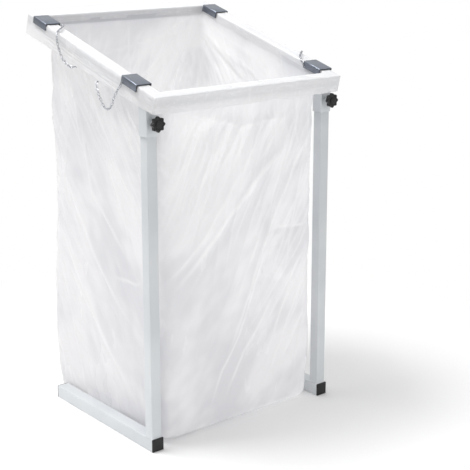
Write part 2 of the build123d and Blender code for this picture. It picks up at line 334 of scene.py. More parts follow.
@dataclass(frozen=True)
class PowderPaint(Finish):
    """Light grey semi-gloss powder paint, with the fine orange peel such paint has."""

    slot: str = "painted_steel"
    light: tuple = srgb(214, 217, 219)
    dark: tuple = srgb(206, 210, 213)
    roughness: float = 0.36
    metallic: float = 0.15
    peel_scale: float = 620
    peel_depth: float = 0.00025

    def paint(self, graph: Graph) -> Wire:
        """Build the shader.

        Args:
            graph: The material's graph.

        Returns:
            The shader.
        """
        place = graph.place()
        cloud = graph.grain(place, 7, 3)
        peel = graph.grain(place, self.peel_scale, 2)
        fine = graph.grain(place, 2600, 1)
        return graph.principled({
            "Base Color": graph.mixed(cloud.between(0.32, 0.7), self.dark, self.light),
            "Roughness": (cloud * 0.1) + (fine * 0.06) + (self.roughness - 0.08),
            "Normal": graph.bumped((peel * 0.8) + (fine * 0.2), 0.12, self.peel_depth),
            "Metallic": self.metallic,
        })


@dataclass(frozen=True)
class MouldedPlastic(Finish):
    """Black moulded plastic with a spark-eroded grain."""

    colour: tuple = srgb(15, 15, 16)
    worn: tuple = srgb(24, 24, 26)
    roughness: float = 0.5
    grain_scale: float = 1500
    grain_depth: float = 0.00018

    def paint(self, graph: Graph) -> Wire:
        """Build the shader.

        Args:
            graph: The material's graph.

        Returns:
            The shader.
        """
        place = graph.place()
        cloud = graph.grain(place, 60, 3)
        pits = graph.grain(place, self.grain_scale, 3, 0.6)
        return graph.principled({
            "Base Color": graph.mixed(cloud.between(0.4, 0.75), self.colour, self.worn),
            "Roughness": (pits * 0.18) + (cloud * 0.08) + (self.roughness - 0.13),
            "Normal": graph.bumped(pits, 0.35, self.grain_depth),
        })


@dataclass(frozen=True)
class RolledSteel(Finish):
    """Dull rolled sheet with fine lines along its length."""

    slot: str = "clip_steel"
    light: tuple = srgb(144, 149, 159)
    dark: tuple = srgb(96, 103, 114)
    roughness: float = 0.34
    line_scale: float = 900

    def paint(self, graph: Graph) -> Wire:
        """Build the shader.

        Args:
            graph: The material's graph.

        Returns:
            The shader.
        """
        lines = graph.grain(graph.place((1, 0.03, 0.1)), self.line_scale, 3)
        cloud = graph.grain(graph.place(), 45, 3)
        return graph.principled({
            "Base Color": graph.mixed((lines * 0.5) + (cloud * 0.5), self.dark, self.light),
            "Metallic": 0.9,
            "Roughness": (lines * 0.14) + (cloud * 0.12) + (self.roughness - 0.12),
            "Normal": graph.bumped(lines, 0.12, 0.0001),
        })


@dataclass(frozen=True)
class PlatedSteel(Finish):
    """Zinc-plated wire or rod: bright, slightly cloudy."""

    light: tuple = srgb(206, 208, 212)
    dark: tuple = srgb(150, 153, 160)
    roughness: float = 0.28

    def paint(self, graph: Graph) -> Wire:
        """Build the shader.

        Args:
            graph: The material's graph.

        Returns:
            The shader.
        """
        place = graph.place()
        cloud = graph.grain(place, 320, 3)
        fine = graph.grain(place, 2400, 2)
        return graph.principled({
            "Base Color": graph.mixed(cloud.between(0.35, 0.65), self.dark, self.light),
            "Metallic": 0.95,
            "Roughness": (cloud * 0.2) + (self.roughness - 0.1),
            "Normal": graph.bumped(fine, 0.2, 0.0001),
        })


@dataclass(frozen=True)
class RubberSheet(Finish):
    """Matt black rubber with a faint cloth mark."""

    slot: str = "clip_rubber"
    colour: tuple = srgb(33, 34, 36)
    dusty: tuple = srgb(52, 53, 55)

    def paint(self, graph: Graph) -> Wire:
        """Build the shader.

        Args:
            graph: The material's graph.

        Returns:
            The shader.
        """
        place = graph.place()
        cloud = graph.grain(place, 120, 4)
        pits = graph.grain(place, 2200, 2)
        return graph.principled({
            "Base Color": graph.mixed(cloud.between(0.4, 0.75), self.colour, self.dusty),
            "Roughness": (pits * 0.15) + 0.68,
            "Normal": graph.bumped(pits, 0.3, 0.00015),
        })


@dataclass(frozen=True)
class BagFilm(Finish):
    """Translucent white film: soft gloss, light shining through, whiter along its creases, partly
    its own whitening at the folds and partly painted highlight on their ridges.
    """

    slot: str = "film"
    shaded: tuple = srgb(220, 221, 225)
    plain: tuple = srgb(246, 245, 246)
    # colour along the creases: the film's whitening at folds together with painted highlight on the
    # fold ridges
    crease_white_and_highlight: tuple = srgb(254, 254, 254)
    thinness: float = 0.32
    alpha: float = 0.88
    lean: float = 0.5

    def paint(self, graph: Graph) -> Wire:
        """Build the shader.

        Args:
            graph: The material's graph.

        Returns:
            The shader.
        """
        # mesh layer of how much whitening and painted highlight each point gets along the creases
        crease = graph.wire("ShaderNodeAttribute", "Fac", attribute_name="crease")
        cloud = graph.grain(graph.place((1, 1, 0.5)), 9, 4)
        streak = self.streaks(graph, 0.1)
        cockle = graph.grain(streak, 55, 3, 0.55)
        fine = graph.grain(streak, 260, 2)
        patch = graph.grain(self.streaks(graph, 0.45), 5.5, 3, 0.55)
        tone = graph.mixed(patch.between(0.38, 0.6), self.shaded, self.plain)
        # the creases' whitening and painted highlight, plus lighter random clouds
        light = (crease * 0.85) + cloud.between(0.45, 0.8, 0, 0.3)
        colour = graph.mixed(light, tone, self.crease_white_and_highlight)
        normal = graph.bumped((cockle * 0.75) + (fine * 0.25), 0.45, 0.002)
        film = graph.principled({
            "Base Color": colour,
            "Roughness": (cloud * 0.12) + 0.2,
            "Alpha": (crease * 0.08) + (cloud * 0.06) + (self.alpha - 0.03),
            "Normal": normal,
        })
        lit_through = graph.wire(
            "ShaderNodeBsdfTranslucent", "BSDF", {"Color": self.plain, "Normal": normal}
        )
        inputs = {"Fac": self.thinness, 1: film, 2: lit_through}
        return graph.wire("ShaderNodeMixShader", "Shader", inputs)

    def streaks(self, graph: Graph, along: float) -> Wire:
        """Give coordinates that are long in the direction in which the film hangs.

        Args:
            graph: The material's graph.
            along: Share that is left of the length along the folds.

        Returns:
            The coordinates.
        """
        plain = graph.wire("ShaderNodeTexCoord", "Object")
        parts = graph.node("ShaderNodeSeparateXYZ", {0: plain})
        x, y, z = (Wire(graph, parts.outputs[axis]) for axis in "XYZ")
        inputs = {"X": x - z * self.lean, "Y": y - z * self.lean, "Z": z * along}
        return graph.wire("ShaderNodeCombineXYZ", "Vector", inputs)


@dataclass(frozen=True)
class StudioFloor(Finish):
    """White floor that keeps the object's shadow and reads white where nothing shades it."""

    slot: str = "studio_floor"
    white: float = 0.92
    fade: tuple = (0.62, 1.25)  # metres from the middle over which the camera sees it turn white

    def paint(self, graph: Graph) -> Wire:
        """Build the shader.

        Args:
            graph: The material's graph.

        Returns:
            The shader.
        """
        camera, = graph.rays("Camera")
        place = graph.wire("ShaderNodeTexCoord", "Object")
        away = graph.wire("ShaderNodeVectorMath", "Value", {0: place}, operation="LENGTH")
        tone = (self.white, self.white, self.white, 1)
        near = graph.wire("ShaderNodeBsdfDiffuse", "BSDF", {"Color": tone})
        white = graph.wire("ShaderNodeEmission", "Emission", {"Strength": 1.0})
        far = away.between(*self.fade) * camera
        return graph.wire("ShaderNodeMixShader", "Shader", {"Fac": far, 1: near, 2: white})


def break_edges(mesh: bmesh.types.BMesh, turn: float, width: float, segments: int) -> None:
    """Round the edges at which a mesh turns sharply.

    Args:
        mesh: The mesh, changed in place.
        turn: Edges that turn more than this angle are rounded.
        width: Width of the round.
        segments: Faces across the round.
    """
    edges = [e for e in mesh.edges if len(e.link_faces) == 2 and e.calc_face_angle(0) > turn]
    bmesh.ops.bevel(
        mesh, geom=edges, offset=width, segments=segments, profile=0.5, affect="EDGES",
        clamp_overlap=True, material=-1,
    )


@dataclass
class CadPiece:
    """A rigid CAD node shown by a polished copy: joined faces, broken edges, smooth rounds."""

    node: str
    body: str
    finish: Finish
    edge: float = 0.0004
    segments: int = 2
    sharp: float = math.radians(35)

    def joined(self) -> bmesh.types.BMesh:
        """Return the node's mesh with its loose triangles joined and its flat faces merged."""
        mesh = bmesh.new()
        mesh.from_mesh(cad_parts[self.node].data)
        bmesh.ops.remove_doubles(mesh, verts=mesh.verts, dist=WELD)
        bmesh.ops.dissolve_limit(
            mesh, angle_limit=math.radians(0.6), verts=mesh.verts, edges=mesh.edges
        )
        return mesh

    def build(self) -> bpy.types.Object:
        """Make the polished copy, dress it and hide the node behind it.

        Returns:
            The new piece.
        """
        mesh = self.joined()
        break_edges(mesh, self.sharp, self.edge, self.segments)
        piece = as_piece(f"{self.node}_finished", mesh, self.finish, self.sharp)
        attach(piece, self.body)
        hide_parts(self.node)
        return piece


def mesh_data(name: str, mesh: bmesh.types.BMesh) -> bpy.types.Mesh:
    """Turn a bmesh into mesh data and free it.

    Args:
        name: Name of the data.
        mesh: The bmesh.

    Returns:
        The data.
    """
    data = bpy.data.meshes.new(name)
    mesh.to_mesh(data)
    mesh.free()
    return data


def in_scene(data: bpy.types.ID) -> bpy.types.Object:
    """Put data into the scene as an object of the same name.

    Args:
        data: A mesh, a camera or a lamp.

    Returns:
        The object.
    """
    made = bpy.data.objects.new(data.name, data)
    bpy.context.scene.collection.objects.link(made)
    return made


def as_piece(
    name: str, mesh: bmesh.types.BMesh, finish: Finish, sharp: float = math.radians(35)
) -> bpy.types.Object:
    """Turn a finished bmesh into an object with its material and slot.

    Args:
        name: Name of the object.
        mesh: The bmesh, freed here.
        finish: The finish it gets.
        sharp: Edges that turn more than this stay sharp.

    Returns:
        The object, at the origin.
    """
    data = mesh_data(name, mesh)
    data.polygons.foreach_set("use_smooth", [True] * len(data.polygons))
    data.set_sharp_from_angle(angle=sharp)
    data.materials.append(finish.material())
    piece = in_scene(data)
    return piece


def place_frame(origin: Vector, z_axis: Vector, x_axis: Vector) -> Matrix:
    """Make the transform of a part's own axes.

    Args:
        origin: Where the part's origin goes.
        z_axis: Direction of its Z.
        x_axis: Rough direction of its X, squared to the Z.

    Returns:
        The matrix.
    """
    z_axis = z_axis.normalized()
    x_axis = (x_axis - z_axis * x_axis.dot(z_axis)).normalized()
    y_axis = z_axis.cross(x_axis)
    matrix = Matrix((x_axis, y_axis, z_axis)).transposed().to_4x4()
    matrix.translation = origin
    return matrix


@dataclass
class Stand:
    """The two feet with their caps, the posts, and the frame's tubes with their sleeves."""

    paint: Finish = field(default_factory=PowderPaint)
    caps: Finish = field(default_factory=lambda: MouldedPlastic(slot="cap_plastic"))

    def pieces(self) -> list[CadPiece]:
        """Return the rigid pieces of the stand and of the frame."""
        made = []
        for side in Side:
            for part, body, edge in (
                ("foot", "stand", 0.0004), ("post", "stand", 0.0004), ("sleeve", "frame", 0.0004),
                ("weld_nut", "frame", 0.0003), ("rail", "frame", 0.0002),
            ):
                made.append(CadPiece(f"{side.value}_{part}", body, self.paint, edge))
            for end in End:
                made.append(CadPiece(f"{side.value}_{end.value}_cap", "stand", self.caps, 0.0005))
        for end in End:
            made.append(CadPiece(f"{end.value}_rail", "frame", self.paint, 0.0002))
        return made

    def build(self) -> list[bpy.types.Object]:
        """Make every piece and return them."""
        return [piece.build() for piece in self.pieces()]


@dataclass
class Knob:
    """A clamping knob: an eight-lobed grip on its threaded stud."""

    side: Side
    radius: float = 0.020
    lobes: int = 8
    lobe_steps: int = 16
    scallop: float = 0.0036
    thickness: float = 0.010
    rim: float = 0.0019
    rim_turn: float = 1.1  # edges that turn more, in radians, are rims
    face_border: float = 0.0022
    face_step: float = 0.0006
    hub_length: float = 0.0095
    hub_radius: float = 0.009
    hub_rim: float = 0.0008
    hub_sunk: float = 0.001  # how far the hub reaches into the head
    button_radius: float = 0.009
    button_height: float = 0.0012
    button_rim: float = 0.0007
    button_sunk: float = 0.0014
    plastic: Finish = field(
        default_factory=lambda: MouldedPlastic(
            slot="knob_plastic", colour=srgb(14, 14, 15), worn=srgb(24, 24, 26), roughness=0.32
        )
    )
    steel: Finish = field(default_factory=lambda: PlatedSteel(slot="screw_steel"))

    def head(self) -> bmesh.types.BMesh:
        """Return the lobed head, with its back at Z 0 and its front towards Z."""
        mesh = bmesh.new()
        bmesh.ops.create_circle(
            mesh, cap_ends=True, radius=self.radius, segments=self.lobes * self.lobe_steps
        )
        for vert in mesh.verts:
            angle = math.atan2(vert.co.y, vert.co.x)
            vert.co *= 1 - self.scallop / self.radius * math.sin(self.lobes * angle / 2) ** 2
        made = bmesh.ops.extrude_face_region(mesh, geom=list(mesh.faces))
        top = [v for v in made["geom"] if isinstance(v, bmesh.types.BMVert)]
        bmesh.ops.translate(mesh, verts=top, vec=(0, 0, self.thickness))
        bmesh.ops.recalc_face_normals(mesh, faces=mesh.faces)
        break_edges(mesh, self.rim_turn, self.rim, 5)
        front = max(mesh.faces, key=lambda face: face.calc_center_median().z)
        bmesh.ops.inset_region(mesh, faces=[front], thickness=self.face_border)
        bmesh.ops.inset_region(mesh, faces=[front], thickness=self.face_step, depth=-self.face_step)
        return mesh

    def turned(self, radius: float, depth: float, base: float, edge: float) -> bmesh.types.BMesh:
        """Make a round boss with a softened rim.

        Args:
            radius: Its radius.
            depth: Its length.
            base: Z of its back.
            edge: Radius of the rim.

        Returns:
            The boss.
        """
        mesh = bmesh.new()
        bmesh.ops.create_cone(
            mesh, cap_ends=True, segments=64, radius1=radius, radius2=radius, depth=depth
        )
        bmesh.ops.translate(mesh, verts=mesh.verts, vec=(0, 0, base + depth / 2))
        break_edges(mesh, self.rim_turn, edge, 4)
        return mesh

    def build(self) -> list[bpy.types.Object]:
        """Make the grip and the stud.

        Returns:
            The two pieces.
        """
        body = f"{self.side.value}_knob"
        node = f"{self.side.value}_knob_grip"
        low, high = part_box(node)
        back = Vector(((low.x + high.x) / 2, high.y, (low.z + high.z) / 2))
        whole = self.head()
        bmesh.ops.translate(whole, verts=whole.verts, vec=(0, 0, self.hub_length))
        parts = [
            self.turned(self.hub_radius, self.hub_length + self.hub_sunk, 0, self.hub_rim),
            self.turned(
                self.button_radius, self.button_height + self.button_sunk,
                self.hub_length + self.thickness - self.button_sunk, self.button_rim,
            ),
        ]
        for part in parts:
            data = mesh_data("knob_part", part)
            whole.from_mesh(data)
            bpy.data.meshes.remove(data)
        bmesh.ops.transform(
            whole, verts=whole.verts,
            matrix=place_frame(back, Vector((0, -1, 0)), Vector((1, 0, 0))),
        )
        grip = as_piece(f"{self.side.value}_grip", whole, self.plastic)
        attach(grip, body)
        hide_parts(node)
        stud = CadPiece(f"{self.side.value}_knob_stud", body, self.steel, 0.0003).build()
        return [grip, stud]


@dataclass
class ChainedClip:
    """A clip with its rubber lining, its link chain and the lug that holds the chain."""

    side: Side
    end: End
    wire: float = 0.0016
    link_length: float = 0.0118
    link_width: float = 0.0066
    ring_steps: int = 20
    wire_steps: int = 10
    sheet: Finish = field(default_factory=RolledSteel)
    rubber: Finish = field(default_factory=RubberSheet)
    paint: Finish = field(default_factory=PowderPaint)
    plated: Finish = field(default_factory=lambda: PlatedSteel(slot="chain_steel"))

    @property
    def name(self) -> str:
        """The words that the names of the clip's nodes and body begin with."""
        return f"{self.end.value}_{self.side.value}"

    def link(self) -> bpy.types.Mesh:
        """Return one link of round wire: length along X, width along Y."""
        mesh = bmesh.new()
        made = bmesh.ops.create_circle(mesh, radius=self.wire / 2, segments=self.wire_steps)
        ring = (self.link_width - self.wire) / 2
        turn = Matrix.Rotation(math.radians(90), 4, "X")
        out = Matrix.Translation((ring, 0, 0))
        bmesh.ops.transform(mesh, verts=made["verts"], matrix=out @ turn)
        bmesh.ops.rotate(
            mesh, verts=mesh.verts, cent=(0, 0, 0),
            matrix=Matrix.Rotation(math.pi / self.ring_steps, 3, "Z"),
        )
        bmesh.ops.spin(
            mesh, geom=list(mesh.verts) + list(mesh.edges), cent=(0, 0, 0), axis=(0, 0, 1),
            angle=2 * math.pi, steps=self.ring_steps, use_merge=True,
        )
        straight = (self.link_length - self.link_width) / 2
        for vert in mesh.verts:
            vert.co.x += straight if vert.co.x > 0 else -straight
        bmesh.ops.recalc_face_normals(mesh, faces=mesh.faces)
        return mesh_data("chain_link", mesh)

    def link_places(self) -> list[Matrix]:
        """Find where each link of the CAD chain is.

        Returns:
            For each link, its middle with X along it and Z square to its flat side.
        """
        mesh = bmesh.new()
        mesh.from_mesh(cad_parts[f"{self.name}_chain"].data)
        bmesh.ops.remove_doubles(mesh, verts=mesh.verts, dist=WELD)
        places, seen = [], set()
        for start in mesh.verts:
            if start in seen:
                continue
            found, waiting = [], [start]
            seen.add(start)
            while waiting:
                vert = waiting.pop()
                found.append(vert.co.copy())
                for edge in vert.link_edges:
                    other = edge.other_vert(vert)
                    if other not in seen:
                        seen.add(other)
                        waiting.append(other)
            points = np.array(found)
            middle = points.mean(0)
            _, _, axes = np.linalg.svd(points - middle, full_matrices=False)
            places.append(place_frame(Vector(middle), Vector(axes[2]), Vector(axes[0])))
        mesh.free()
        return places

    def chain(self) -> bpy.types.Object:
        """Make the chain of round-wire links.

        Returns:
            The chain.
        """
        places = self.link_places()
        link = self.link()
        mesh = bmesh.new()
        for place in places:
            before = set(mesh.verts)
            mesh.from_mesh(link)
            new = [vert for vert in mesh.verts if vert not in before]
            bmesh.ops.transform(mesh, verts=new, matrix=place)
        bpy.data.meshes.remove(link)
        piece = as_piece(f"{self.name}_links", mesh, self.plated)
        held = self.nearest(places, f"{self.name}_chain_lug")
        moved = self.nearest(places, f"{self.name}_clip")
        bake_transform(piece)
        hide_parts(f"{self.name}_chain")
        return piece

    def nearest(self, places: list[Matrix], node: str) -> Vector:
        """Return the middle of the end link that is nearest to a node.

        Args:
            places: Places of the links.
            node: The CAD node.

        Returns:
            The middle of the link.
        """
        low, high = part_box(node)
        middle = (low + high) / 2
        ends = (places[0].translation, places[-1].translation)
        return min(ends, key=lambda point: (point - middle).length)

    def build(self) -> list[bpy.types.Object]:
        """Make the clip, its lining, the lug and the chain.

        Returns:
            The pieces.
        """
        body = f"{self.name}_clip"
        rigid = [
            CadPiece(f"{self.name}_clip", body, self.sheet, 0.0003),
            CadPiece(f"{self.name}_clip_lining", body, self.rubber, 0.0002),
            CadPiece(f"{self.name}_chain_lug", "frame", self.paint, 0.0004),
        ]
        return [piece.build() for piece in rigid] + [self.chain()]


def ease(value: np.ndarray, low: float, high: float) -> np.ndarray:
    """Rise smoothly from 0 at low to 1 at high.

    Args:
        value: The values.
        low: Where the rise begins.
        high: Where it ends.

    Returns:
        The eased values.
    """
    share = np.clip((value - low) / (high - low), 0, 1)
    return share * share * (3 - 2 * share)


class Ripples:
    """Smooth three-dimensional noise for whole arrays of points."""

    def __init__(self, seed: int) -> None:
        """Shuffle the table that the noise is read from.

        Args:
            seed: Number that fixes the pattern.
        """
        source = np.random.default_rng(seed)
        self.order = np.tile(source.permutation(256), 3)
        slopes = source.normal(size=(256, 3))
        self.slopes = slopes / np.linalg.norm(slopes, axis=1, keepdims=True)

    def __call__(self, points: np.ndarray, size: tuple[float, float, float]) -> np.ndarray:
        """Read the noise.

        Args:
            points: Array of points, the last axis being X, Y and Z.
            size: Size of a spot along each axis, in the points' own units.

        Returns:
            Values from about -0.8 to 0.8, in the points' shape.
        """
        spot = points / np.array(size)
        cell = np.floor(spot).astype(int)
        inner = spot - cell
        eased = inner ** 3 * (inner * (inner * 6 - 15) + 10)
        cell &= 255
        total = np.zeros(points.shape[:-1])
        for corner in np.ndindex(2, 2, 2):
            x, y, z = (cell[..., axis] + corner[axis] for axis in range(3))
            slope = self.slopes[self.order[self.order[self.order[x] + y] + z]]
            weight = np.ones(points.shape[:-1])
            for axis in range(3):
                share = eased[..., axis]
                weight = weight * (share if corner[axis] else 1 - share)
            total += weight * ((inner - np.array(corner)) * slope).sum(-1)
        return total * 1.5


@dataclass(frozen=True)
class Crease:
    """A crease in the film: a line on one face of the bag, in millimetres.

    The line's points are (x, z) on the front and rear faces and (y, z) on the side faces.
    """

    face: Face
    line: tuple
    height: float = 3.0
    width: float = 12.0
    # whiteness along the line: partly the film's whitening at the fold, partly painted highlight
    bright: float = 0.7

    def reach(self, points: np.ndarray) -> tuple[np.ndarray, np.ndarray]:
        """Measure how near points are to the line.

        Args:
            points: Array of points in space, in millimetres.

        Returns:
            The distance of each point to the line, and a weight that fades at the line's ends.
        """
        flat = points[..., (0 if self.face in (Face.FRONT, Face.REAR) else 1, 2)]
        line = np.array(self.line, float)
        runs = np.linalg.norm(np.diff(line, axis=0), axis=1)
        starts = np.concatenate([[0], np.cumsum(runs)])
        best = np.full(flat.shape[:-1], 1e9)
        along = np.zeros(flat.shape[:-1])
        for n, run in enumerate(runs):
            step = (line[n + 1] - line[n]) / run
            offset = flat - line[n]
            at = np.clip((offset * step).sum(-1), 0, run)
            away = np.linalg.norm(offset - at[..., None] * step, axis=-1)
            nearer = away < best
            best = np.where(nearer, away, best)
            along = np.where(nearer, starts[n] + at, along)
        return best, ease(np.minimum(along, starts[-1] - along), 0, 0.3 * starts[-1])


@dataclass(frozen=True)
class Fan:
    """Many fine creases that start along a held line of one face and run the same way.

    Points are (x, z) or (y, z) in millimetres, and the heading is in degrees from straight down
    towards +x or +y.
    """

    face: Face
    held: tuple
    heading: float
    spread: float
    count: int
    length: tuple
    height: tuple
    seed: int
    width: tuple = (4.0, 9.0)
    # whiteness of the creases: partly the film's whitening at the folds, partly painted highlight
    bright: float = 0.5

    def creases(self) -> list[Crease]:
        """Lay out the creases, each a little bent.

        Returns:
            The creases.
        """
        chance = np.random.default_rng(self.seed)
        first, last = np.array(self.held[0], float), np.array(self.held[1], float)
        made = []
        for n in range(self.count):
            start = first + (last - first) * (n + chance.uniform()) / self.count
            angle = math.radians(self.heading + self.spread * chance.normal() * 0.6)
            run = chance.uniform(*self.length)
            down = np.array([math.sin(angle), -math.cos(angle)])
            start = start + run * chance.uniform(-0.12, 0.2) * down
            bend = math.radians(chance.normal() * 4)
            points, spot = [start], start
            for step in range(3):
                turn = angle + bend * step
                spot = spot + run / 3 * np.array([math.sin(turn), -math.cos(turn)])
                points.append(spot)
            height = chance.uniform(*self.height) * (1 if chance.uniform() < 0.7 else -1)
            made.append(Crease(
                self.face, tuple(tuple(point) for point in points), height,
                chance.uniform(*self.width), self.bright * chance.uniform(0.2, 1.0),
            ))
        return made


@dataclass
class FilmShape:
    """Where the film runs: the sizes of the bag and of what holds it, in millimetres."""

    front: float = -292.6805  # y of the frame's lower front edge
    height: float = 895.0  # of that edge
    tilt: float = math.radians(15.5)
    half_width: float = 303.5
    depth: float = 607.0
    rail: float = 30.0
    half_film: float = 0.5
    side_gap: float = 3.1
    film_gap: float = 0.6
    top_gap: float = 0.5
    hem_front: float = 13.0
    hem_rear: float = 27.0
    mouth_radius: float = 4.0
    cuff_radius: float = 9.0
    clip_half: float = 32.0
    clips: dict = field(default_factory=lambda: {Face.LEFT: (105, 536), Face.RIGHT: (75, 539)})
    # Share of the mouth's height, insets of the sides, front and rear, and the corner radius
    levels: tuple = (
        (0.018, 3.0, 15.0, -13.0, 55.0),
        (0.065, 1.5, 12.0, -22.0, 47.0),
        (0.17, 2.5, 6.0, -26.0, 46.0),
        (0.34, 5.0, 0.5, -23.5, 53.0),
        (0.51, 7.0, -3.5, -18.5, 60.0),
        (0.67, 7.5, -1.0, -14.0, 63.0),
        (0.82, 4.5, 2.0, -8.0, 56.0),
        (0.94, 2.0, 4.0, -2.0, 44.0),
        (0.985, 0.0, 3.0, 1.0, 34.0),
        (1.0, 0.0, 0.6, 0.6, 12.0),
    )

    @property
    def mouth_half(self) -> float:
        """Half the width of the film inside the frame's opening."""
        return self.half_width - self.rail - self.side_gap - self.half_film

    def columns(self, run_steps: int, corner_steps: int) -> dict[str, np.ndarray]:
        """Describe the columns that go round the bag.

        Args:
            run_steps: Columns on a straight side.
            corner_steps: Columns in a corner.

        Returns:
            For each column: its face, the signs of its corner, its angle and its share of the side.
        """
        rows = []
        turns = ((1, -1, -90), (1, 1, 0), (-1, 1, 90), (-1, -1, 180))
        for face, (sx, sy, angle) in enumerate(turns):
            for n in range(corner_steps):
                rows.append((face, sx, sy, math.radians(angle + 90 * n / corner_steps), 0.0))
            for n in range(run_steps):
                rows.append((face, sx, sy, math.radians(angle + 90), n / run_steps))
        table = np.array(rows)
        keys = ("face", "sx", "sy", "angle", "share")
        return {key: table[:, n] for n, key in enumerate(keys)}

    def ring(
        self, columns: dict, half_x: np.ndarray, front: np.ndarray, rear: np.ndarray,
        radius: np.ndarray,
    ) -> tuple[np.ndarray, np.ndarray, np.ndarray]:
        """Work out rounded rectangles, one for each row.

        Args:
            columns: The columns.
            half_x: Half the width of each row.
            front: Y of each row's front.
            rear: Y of each row's rear.
            radius: Corner radius of each row.

        Returns:
            X and Y of every point, and the outward normal of every column.
        """
        half_x, front, rear, radius = (
            np.atleast_1d(value)[:, None] for value in (half_x, front, rear, radius)
        )
        half_y, middle = (rear - front) / 2, (rear + front) / 2
        cos, sin = np.cos(columns["angle"])[None], np.sin(columns["angle"])[None]
        long = np.isin(columns["face"], (Face.RIGHT.value, Face.LEFT.value))[None]
        run = 2 * np.where(long, half_y - radius, half_x - radius) * columns["share"][None]
        x = columns["sx"][None] * (half_x - radius) + radius * cos - run * sin
        y = columns["sy"][None] * (half_y - radius) + radius * sin + run * cos
        normal = np.stack([cos[0], sin[0]], -1)
        return x, middle + y, normal

    def body_rows(self, share: np.ndarray) -> tuple[np.ndarray, ...]:
        """Interpolate the bag's insets and corner radius.

        Args:
            share: Shares of the mouth's height.

        Returns:
            Inset of the sides, front and rear, and the corner radius, for each row.
        """
        table = np.array(self.levels)
        fine = np.linspace(0, 1, 1201)
        window = 61
        kernel = np.hanning(window) / np.hanning(window).sum()
        keep = ease(fine, 0.93, 0.985)
        rows = []
        for column in range(1, 5):
            value = np.interp(fine, table[:, 0], table[:, column])
            soft = np.convolve(np.pad(value, window // 2, mode="edge"), kernel, mode="valid")
            rows.append(np.interp(share, fine, soft * (1 - keep) + value * keep))
        return tuple(rows)

    def to_world(
        self, x: np.ndarray, y: np.ndarray, share: np.ndarray, lift: np.ndarray
    ) -> np.ndarray:
        """Put rows of points into space.

        Args:
            x: X of each point.
            y: Y of each point along its row's slope.
            share: Share of the mouth's height, for each row.
            lift: Height of each point square to its row's slope.

        Returns:
            The points in millimetres.
        """
        slope = np.arctan(share * math.tan(self.tilt))[:, None]
        return np.stack([
            x,
            self.front + y * np.cos(slope) - lift * np.sin(slope),
            share[:, None] * self.height + y * np.sin(slope) + lift * np.cos(slope),
        ], -1)


def grid_mesh(points: np.ndarray, crease: np.ndarray, closed_end: bool) -> bmesh.types.BMesh:
    """Bend a plain grid onto rows of points that go round the bag.

    Args:
        points: Rows by columns by 3, in millimetres; the columns go round and meet.
        crease: How much whitening and painted highlight each point gets along the creases.
        closed_end: Whether the first row is drawn together to one point.

    Returns:
        The mesh in metres, with the layer "crease" of whitening and painted highlight.
    """
    rows, columns = points.shape[:2]
    mesh = bmesh.new()
    layer = mesh.verts.layers.float.new("crease")
    bmesh.ops.create_grid(mesh, x_segments=columns, y_segments=rows - 1, size=0.5)
    for vert in mesh.verts:
        column = round((vert.co.x + 0.5) * columns) % columns
        row = round((vert.co.y + 0.5) * (rows - 1))
        vert[layer] = crease[row, column]
        vert.co = points[row, column] * MM
    bmesh.ops.remove_doubles(mesh, verts=mesh.verts, dist=WELD)
    if closed_end:
        middle = Vector(points[0].mean(0) * MM)
        low = [v for v in mesh.verts if (v.co - middle).length < GATHERED]
        bmesh.ops.remove_doubles(mesh, verts=low, dist=10 * GATHERED)
    bmesh.ops.recalc_face_normals(mesh, faces=mesh.faces)
    return mesh


